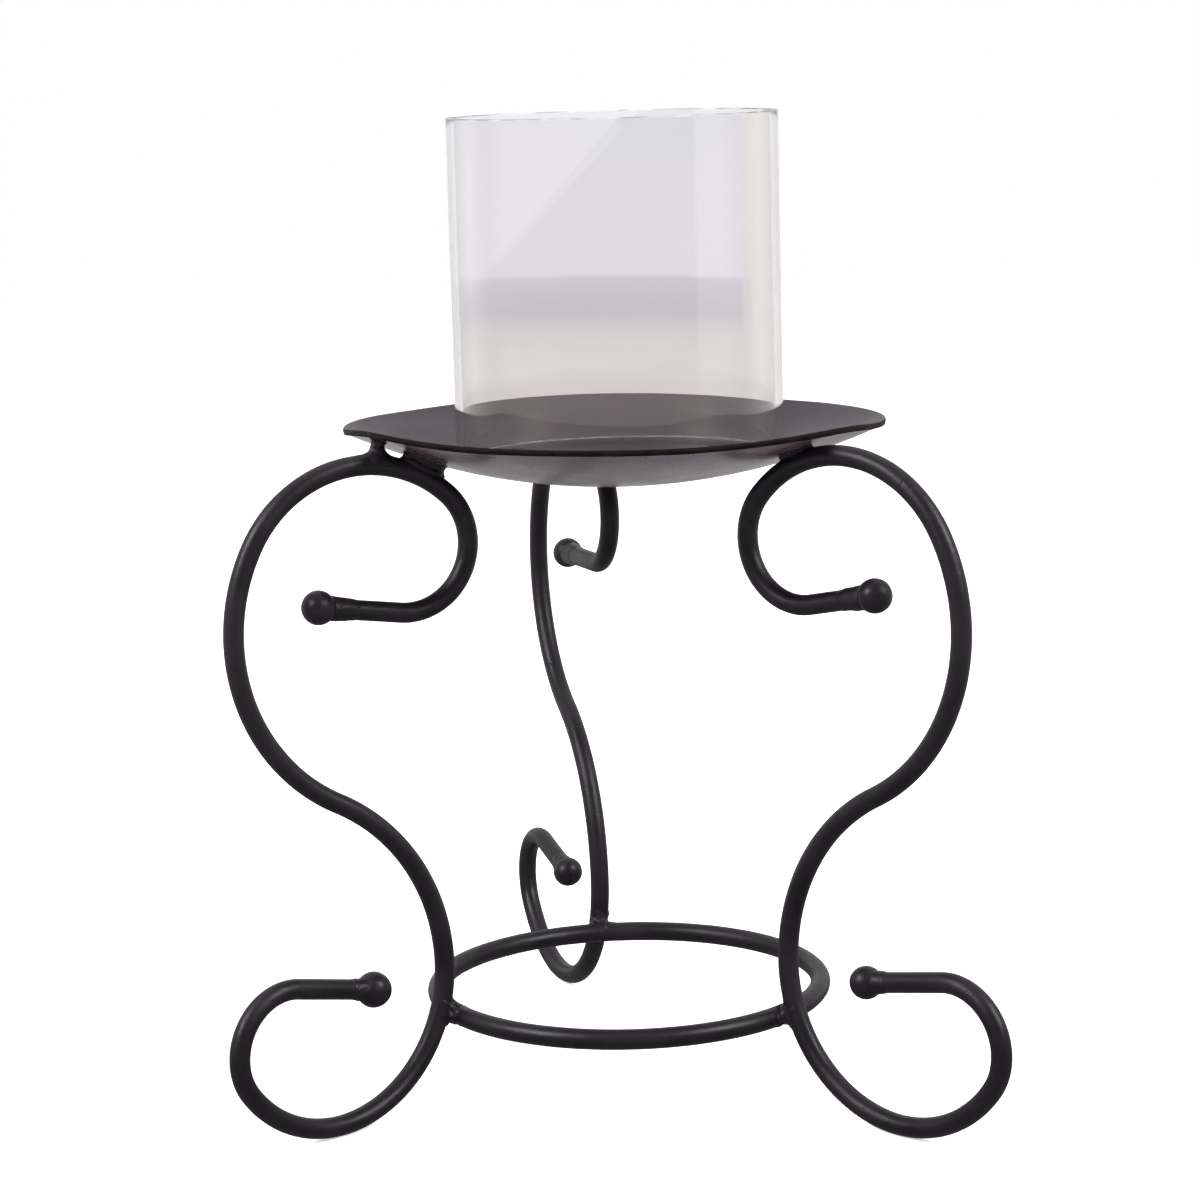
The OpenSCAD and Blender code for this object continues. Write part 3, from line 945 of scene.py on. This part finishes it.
def make_balls(paint, weld):
    ways, faces = BALL_NET
    for level in ("upper", "foot"):
        collars = []
        for seed, (side, leg) in enumerate(LEGS.items()):
            centre, into = leg_end(leg, level)
            radius = BALL_D[level][side] / 2
            dent = 1 + BALL_DENT * ripple(ways * radius, BALL_DENT_SIZE, 20 + seed)
            points = centre + ways * (radius * dent)[:, None]
            ball = mesh_object(f"{level}_ball_{side}_piece", points, faces, paint)
            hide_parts(f"{level}_ball_{side}")
            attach(ball, "stand")
            collars.append(turned(centre, -into, COLLARS[level], COLLAR_SIDES, LUMP["collar"], 40 + seed))
        piece = bead_object(f"{level}_ball_collars", collars, weld)
        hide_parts(f"{level}_ball_welds")
        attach(piece, "stand")


def make_ring_welds(weld):
    for seed, (side, leg) in enumerate(LEGS.items()):
        outward, _ = plane_axes(leg, 0.0)
        slope = ring_slope(leg)
        way = outward * math.cos(slope) + UP * math.sin(slope)
        meeting = outward * RING_R + UP * RING_Z + way * (ROD_D + WELD_GAP) / 2
        rod = near_rod(foot_run(leg), meeting)

        def field(p, rod=rod):
            return melted(rod(p), near_ring(p), FILLET["ring"])

        metal = bead(meeting, np.eye(3), RING_BEAD, field, 60 + seed, LUMP["ring"])
        piece = bead_object(f"ring_weld_bead_{side}", [metal], weld)
        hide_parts(f"ring_weld_{side}")
        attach(piece, "stand")


def inside_sheet(p):
    """More than nothing once a point has gone half way through the dish's sheet."""
    return -near_dish(p) - SHEET_T / 2


def left_filler(leg):
    """The wedge of weld metal inward of the prop, between the left shoulder and the dish."""
    line = upper_run(leg)
    foot, _ = prop_ends(leg)
    start = np.linalg.norm(line - foot, axis=1).argmin()
    steps = np.concatenate([[0], np.cumsum(np.linalg.norm(np.diff(line, axis=0), axis=1))])
    spot = np.abs(steps - steps[start] - FILLER_START - FILLER_L / 2).argmin()
    axes = rod_axes(leg, line, spot)
    crown = line[spot] + axes[2] * ROD_D / 2
    gap = float(near_dish(crown[None, :])[0])
    middle = crown + axes[2] * gap / 2
    half = np.array((FILLER_L / 2, FILLER_HALF_W, gap / 2))
    block = near_block(middle, axes, half + FILLER_BLOCK, FILLER_CORNER)
    rod = near_rod(line, line[spot])

    def field(p):
        filled = melted(rod(p), block(p), FILLET["filler_rod"])
        return np.maximum(melted(filled, near_dish(p), FILLET["filler_dish"]), inside_sheet(p))

    return bead(middle, axes, half + FILLER_REACH, field, 81, LUMP["filler"])


def seam_weld(leg, seed):
    """The low seam where the dish sits straight on the rod."""
    seat, *axes = dish_seat(leg)
    rod = near_rod(upper_run(leg), seat)

    def field(p):
        return np.maximum(melted(rod(p), near_dish(p), FILLET["seam"]), inside_sheet(p))

    return bead(seat, axes, SEAM_BEAD, field, seed, LUMP["seam"])


def make_dish_welds(weld):
    for seed, (side, leg) in enumerate(LEGS.items()):
        metal = left_filler(leg) if side == "left" else seam_weld(leg, 84 + seed)
        piece = bead_object(f"dish_weld_bead_{side}", [metal], weld)
        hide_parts(f"dish_weld_{side}")
        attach(piece, "stand")


def prop_ends(leg):
    """Foot of the rim prop on the rod's centre line, and its top under the dish."""
    sx, sy = shoulder_centre(leg)
    out = DISH_R - PROP_INSET - waist_r(leg)
    rise = math.sqrt(leg["shoulder"][0] ** 2 - (out - sx) ** 2)
    foot = in_plane(leg, leg["upper_twist"], out, sy + rise)
    top = np.array(foot)
    top[2] = underside_z(foot[0], foot[1]) + PROP_SUNK
    return foot, top


def make_prop(weld):
    """The stub between the left shoulder and the dish's rim, with its fillets."""
    leg = LEGS["left"]
    foot, top = prop_ends(leg)
    line = upper_run(leg)
    rod = near_rod(line, foot)
    post = near_post(foot, top, PROP_D / 2 - PROP_THINNER)
    above = rod_axes(leg, line, np.linalg.norm(line - foot, axis=1).argmin())[2]

    def foot_field(p):
        joined = melted(rod(p), post(p), FILLET["prop_foot"])
        return np.maximum(np.maximum(joined, inside_sheet(p)), PROP_FILLET_END - (p - foot) @ above)

    def top_field(p):
        return np.maximum(melted(post(p), near_dish(p), FILLET["prop_top"]), inside_sheet(p))

    height = top[2] - foot[2]
    low = foot + UP * (ROD_D / 2 + PROP_BEAD_OFF[0])
    high = top - UP * PROP_BEAD_OFF[1]
    foot_reach, top_reach = ((reach, reach, height) for reach in PROP_BEAD_R)
    beads = [
        bead(low, np.eye(3), foot_reach, foot_field, 101, LUMP["prop_foot"]),
        bead(high, np.eye(3), top_reach, top_field, 102, LUMP["prop_top"]),
    ]
    piece = bead_object("rim_prop_stub", beads, weld)
    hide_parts("rim_prop")
    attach(piece, "stand")


def make_dish(face_paint, under_paint, edge_paint):
    """The shallow dish: a leaning, slightly wavy bowl of sheet with a rough cut edge."""
    around = DISH_AROUND
    rng = np.random.default_rng(5)
    edge_chatter = np.zeros(around)
    turn = np.arange(around) * 2 * math.pi / around
    for waves in EDGE_WAVES:
        height = EDGE_CHATTER / waves ** 0.5 * rng.uniform(0.4, 1)
        edge_chatter += height * np.sin(waves * turn + rng.uniform(0, 6.3))
    profile = [("top", r) for r in DISH_RINGS] + [("edge_top", 0), ("edge", 0), ("edge_under", 0)]
    profile += [("under", r) for r in reversed(DISH_RINGS)]
    rows = []
    oval = 1 + DISH_OVAL / DISH_R * np.cos(turn) ** 2
    for kind, r in profile:
        radius = np.full(around, float(r))
        if kind in EDGE_OUT:
            radius = DISH_R + EDGE_OUT[kind] + edge_chatter * EDGE_WAVINESS
        x = radius * np.cos(turn)
        y = radius * np.sin(turn)
        lift = dish_lift(x, y)
        low = BOWL_Z - np.sqrt(BOWL_R ** 2 - radius ** 2) + lift
        high = BOWL_Z - np.sqrt((BOWL_R - SHEET_T) ** 2 - radius ** 2) + lift
        bead_edge = low - RIM_BEAD * (RIM_BEAD_EVEN + RIM_BEAD_WAVY * edge_chatter)
        z = {"under": low, "edge": (low + high) / 2, "edge_under": bead_edge}.get(kind, high)
        rows.append(np.stack([x * oval, y, z], axis=1))
    points = [rows[0][0], *np.concatenate(rows[1:-1]), rows[-1][0]]
    faces = [(face[0], *face[:0:-1]) for face in lathe_faces(len(rows) - 2, around)]
    bands = [{"top": 0, "under": 1}.get(kind, 2) for kind, _ in profile[:-2]] + [1]
    piece = mesh_object("dish_sheet", points, faces, face_paint, under_paint, edge_paint)
    for face, band in zip(piece.data.polygons, np.repeat(bands, around)):
        face.material_index = int(band)
    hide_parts("dish")
    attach(piece, "stand")


def arris(radius, z, inward, upward, turn):
    """Point on the small rounding of a cut rim, from the wall (turn 0) to the flat of the rim."""
    across = radius + inward * GLASS_ARRIS * (1 - math.cos(turn))
    return across, z + upward * GLASS_ARRIS * (1 - math.sin(turn))


def make_glass(glass, rim_glass):
    """The loose chimney: an open tube with ground rims and a faint drawn waviness."""
    around = GLASS_AROUND
    rows = GLASS_ROWS
    top, bottom = GLASS_Z + GLASS_H, GLASS_Z
    inner = GLASS_R - GLASS_T
    straight = GLASS_H - 2 * GLASS_ARRIS
    turns = [math.radians(90 / ARRIS_STEPS * i) for i in range(ARRIS_STEPS + 1)]
    profile = [(GLASS_R, bottom + GLASS_ARRIS + straight * i / rows) for i in range(rows + 1)]
    profile += [arris(GLASS_R, top, -1, -1, a) for a in turns[1:]]
    profile += [arris(inner, top, 1, -1, a) for a in turns[:0:-1]]
    profile += [(inner, top - GLASS_ARRIS - straight * i / rows) for i in range(rows + 1)]
    profile += [arris(inner, bottom, 1, 1, a) for a in turns[1:]]
    profile += [arris(GLASS_R, bottom, -1, 1, a) for a in turns[:0:-1]]
    radii, heights = (np.repeat(column, around) for column in zip(*profile))
    angles = np.tile(np.arange(around) * 2 * math.pi / around, len(profile))
    true = np.stack([radii * np.cos(angles), radii * np.sin(angles), heights], axis=1)
    radii = radii + GLASS_SWAY * ripple(true, GLASS_SWAY_SIZE, 7)
    x = GLASS_SHIFT + radii * np.cos(angles)
    y = radii * np.sin(angles)
    z = heights + (GLASS_TILT * y + GLASS_TOP_RISE) * np.clip((heights - GLASS_Z) / GLASS_H, 0, 1)
    faces = []
    for a in range(0, len(x), around):
        faces += band_faces(a, (a + around) % len(x), around)
    piece = mesh_object("chimney_glass", np.stack([x, y, z], axis=1), faces, glass, rim_glass)
    rim = 2 * ARRIS_STEPS + 1
    rims = (*range(rows, rows + rim), *range(2 * rows + rim, 2 * (rows + rim)))
    for face in piece.data.polygons:
        face.material_index = 1 if face.index // around in rims else 0
    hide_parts("glass_chimney")
    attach(piece, "chimney")


# ---- camera, light and floor ----

def make_camera():
    """The photograph's viewpoint: 960 mm in front, 308 mm up, looking 9.3 degrees down."""
    pitch, yaw, roll = (math.radians(turn) for turn in CAMERA_TURNS)
    right = Vector((math.cos(yaw), -math.sin(yaw), 0))
    level = Vector((math.sin(yaw), math.cos(yaw), 0))
    up = level * math.sin(pitch) + Vector((0, 0, 1)) * math.cos(pitch)
    forward = level * math.cos(pitch) - Vector((0, 0, 1)) * math.sin(pitch)
    rolled_right = right * math.cos(roll) + up * math.sin(roll)
    rolled_up = up * math.cos(roll) - right * math.sin(roll)
    data = bpy.data.cameras.new("camera")
    data.sensor_width = SENSOR_WIDTH
    data.lens = FOCAL_PIXELS / FRAME_PIXELS * SENSOR_WIDTH
    data.clip_start = 0.01
    data.clip_end = 30
    camera = placed("camera", data)
    place = Matrix((rolled_right, rolled_up, -forward)).transposed().to_4x4()
    place.translation = Vector(CAMERA_PLACE)
    camera.matrix_world = place
    bpy.context.scene.camera = camera


def soft_box(name, place, side, power):
    """A square light that looks at the middle of the stand."""
    data = bpy.data.lights.new(name, "AREA")
    data.shape = "RECTANGLE"
    data.size = side
    data.size_y = side
    data.energy = power
    lamp = placed(name, data)
    way = Vector(LIGHT_TARGET) - Vector(place)
    lamp.matrix_world = Matrix.Translation(place) @ way.to_track_quat("-Z", "Y").to_matrix().to_4x4()


def room_brightness(tree, way_y, at):
    """How bright the room looks in a mirror: dim on the camera's side, white behind the stand."""
    return masked(tree, way_y, ROOM_LIMITS, at, ROOM_BRIGHTNESS[1], ROOM_BRIGHTNESS[0])


def make_world(scene):
    """White backdrop for what is seen and seen through; what glosses mirror is white behind the stand
    and dimmer on the camera's side, as in a room with one white backdrop."""
    world = bpy.data.worlds.new("white_room")
    world.use_nodes = True
    scene.world = world
    tree = world.node_tree
    ambient = tree.nodes["Background"]
    set_values(ambient, {"Color": AMBIENT_COLOUR, "Strength": AMBIENT_STRENGTH})
    white = node(tree, "ShaderNodeBackground", (0, -200), {"Color": WHITE})
    mirrored = node(tree, "ShaderNodeBackground", (0, -400), {"Color": WHITE})
    ways = node(tree, "ShaderNodeTexCoord", (-700, -500))
    split = node(tree, "ShaderNodeSeparateXYZ", (-500, -500))
    rays = node(tree, "ShaderNodeLightPath", (-500, 200))
    direct = (rays.outputs["Is Camera Ray"], rays.outputs["Is Transmission Ray"])
    seen = reckoned(tree, "MAXIMUM", direct, (-120, 200))
    lit = mixed_shaders(tree, rays.outputs["Is Glossy Ray"], ambient, mirrored, (250, 0))
    last = mixed_shaders(tree, seen, lit, white, (450, -100))
    join(
        tree,
        (ways.outputs["Generated"], split.inputs["Vector"]),
        (room_brightness(tree, split.outputs["Y"], (-300, -500)), mirrored.inputs["Strength"]),
        (last.outputs[0], tree.nodes["World Output"].inputs["Surface"]),
    )


def make_floor():
    """Pale floor that keeps the stand's shadow and brightens into the white backdrop."""
    mesh = bpy.data.meshes.new("floor")
    corners = [(x * FLOOR_HALF, y * FLOOR_HALF, 0) for x, y in ((-1, -1), (1, -1), (1, 1), (-1, 1))]
    mesh.from_pydata(corners, [], [(0, 1, 2, 3)])
    floor = placed("floor", mesh)
    made, tree, shader = new_material("white_floor")
    set_values(shader, {"Base Color": FLOOR_COLOUR, "Roughness": 0.9, "Specular IOR Level": 0.1})
    place = node(tree, "ShaderNodeTexCoord", (-900, -500))
    reach = node(tree, "ShaderNodeVectorMath", (-700, -500), operation="LENGTH")
    way = node(tree, "ShaderNodeVectorMath", (-700, -700), operation="NORMALIZE")
    split = node(tree, "ShaderNodeSeparateXYZ", (-500, -700))
    rays = node(tree, "ShaderNodeLightPath", (-500, -100))
    glow = node(tree, "ShaderNodeEmission", (-200, -400))
    off = node(tree, "ShaderNodeEmission", (-200, -520), {"Strength": 0.0})
    white = node(tree, "ShaderNodeEmission", (200, -300))
    mirrored = node(tree, "ShaderNodeEmission", (420, -300))
    blended = node(tree, "ShaderNodeMix", (320, -450), data_type="FLOAT")
    lit = node(tree, "ShaderNodeAddShader", (200, 0))
    distance = reach.outputs["Value"]
    glow_strength = masked(tree, distance, GLOW_LIMITS, (-500, -500), GLOW[1], GLOW[0])
    # painted shade: in reflections the floor is dimmer near the stand
    near = masked(tree, distance, MIRRORED_LIMITS, (200, -450), MIRRORED[1], MIRRORED[0])
    far = masked(tree, distance, FAR_LIMITS, (-300, -800))
    room = room_brightness(tree, split.outputs["Y"], (-300, -1000))
    seen = mixed_shaders(tree, rays.outputs["Is Camera Ray"], off, glow, (0, -350))
    opaque = mixed_shaders(tree, rays.outputs["Is Glossy Ray"], lit, mirrored, (420, 0))
    last = mixed_shaders(tree, rays.outputs["Is Transmission Ray"], opaque, white, (620, 0))
    join(
        tree,
        (place.outputs["Object"], reach.inputs[0]),
        (place.outputs["Object"], way.inputs[0]),
        (way.outputs["Vector"], split.inputs["Vector"]),
        (glow_strength, glow.inputs["Strength"]),
        (far, blended.inputs["Factor"]),
        (near, blended.inputs["A"]),
        (room, blended.inputs["B"]),
        (blended.outputs["Result"], mirrored.inputs["Strength"]),
        (shader.outputs[0], lit.inputs[0]),
        (seen.outputs[0], lit.inputs[1]),
        (last.outputs[0], tree.nodes["Material Output"].inputs["Surface"]),
    )
    mesh.materials.append(made)


def make_studio():
    scene = bpy.context.scene
    scene.view_settings.view_transform = "Standard"
    make_world(scene)
    make_floor()
    for name, place, side, power in LIGHTS:
        soft_box(name, place, side, power)


# ---- build ----

ROD_TREE, ROD_SOCKETS = bent_rod_tree()
MOTTLE = mottled_paint_group()

black = black_rod_paint()
weld_black = weld_paint()
make_legs(black)
make_base_ring(black)
make_balls(black, weld_black)
make_ring_welds(weld_black)
make_dish(dish_paint(), dish_under_paint_painted_light(), dish_edge_paint())
make_dish_welds(weld_black)
make_prop(weld_black)
make_glass(clear_glass(), ground_glass_rim())
make_camera()
make_studio()
